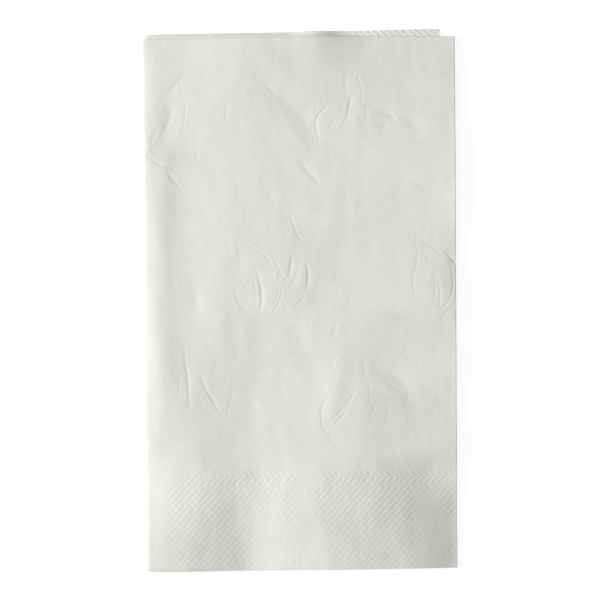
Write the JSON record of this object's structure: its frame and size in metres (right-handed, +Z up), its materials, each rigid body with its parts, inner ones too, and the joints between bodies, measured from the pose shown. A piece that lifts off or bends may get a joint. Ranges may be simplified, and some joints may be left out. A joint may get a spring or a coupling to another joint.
{
  "type": "folded paper dinner napkin",
  "caption": "White paper dinner napkin, one sheet folded in half and then like a book, with a twill-embossed border and faint embossed tulips; lies flat for a place setting.",
  "frame": {"origin": "middle of the footprint, on the surface that the napkin lies on", "axes": "+Y along the napkin's long side, from its open embossed end to its folded end; +X from the soft spine fold to the crisp fold; +Z up, out of the front"},
  "size_m": [0.112, 0.1932, 0.0043],
  "materials": {
    "paper": "soft matt white two-ply tissue with an embossed border"
  },
  "bodies": {
    "root": {"napkin": "paper"}
  },
  "joints": []
}
